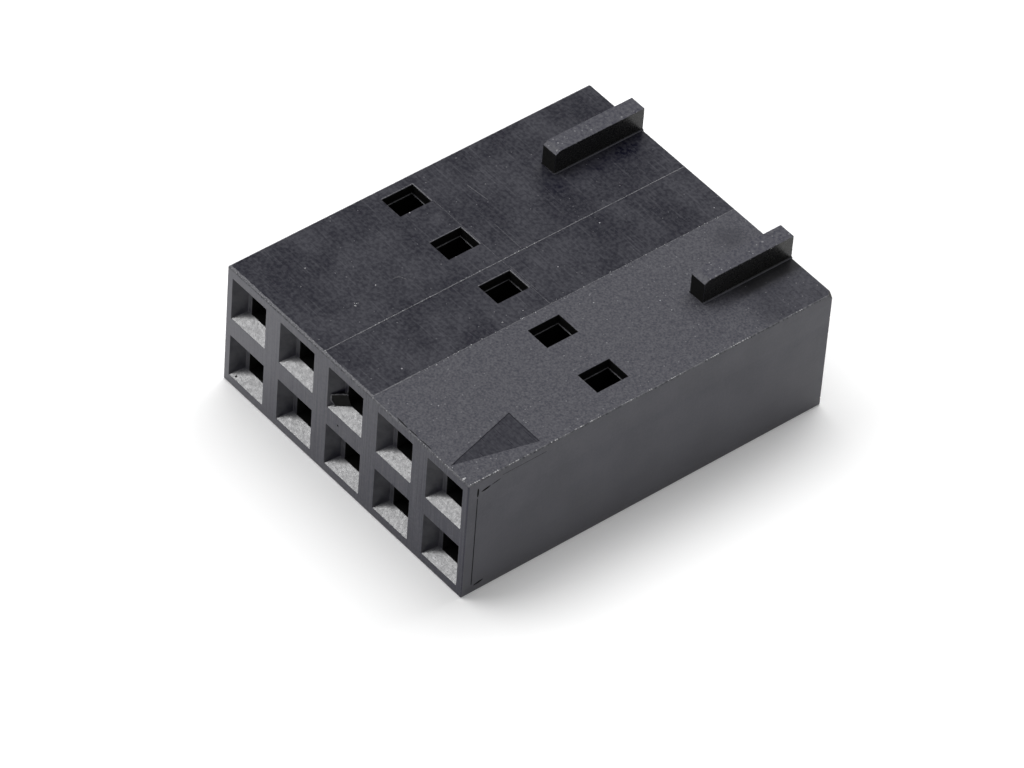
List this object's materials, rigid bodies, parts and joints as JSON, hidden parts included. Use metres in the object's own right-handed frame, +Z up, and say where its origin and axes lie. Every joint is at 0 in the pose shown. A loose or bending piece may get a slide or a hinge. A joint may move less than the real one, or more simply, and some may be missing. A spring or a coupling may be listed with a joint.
{
  "type": "crimp terminal connector housing",
  "caption": "Black moulded two-row housing for crimped terminals, with funnel pin entries, locking windows and keying ribs.",
  "frame": {"origin": "middle of the underside of the body", "axes": "+Z up out of the face with the keying ribs, -Y out of the mating face with the pin entries, +Y the way the wires leave, X along a row, position one at +X"},
  "size_m": [0.0126, 0.0152, 0.006],
  "materials": {
    "black_moulding": "moulded, part polished and part fine-grained"
  },
  "bodies": {
    "root": {"housing": "black_moulding"}
  },
  "joints": []
}
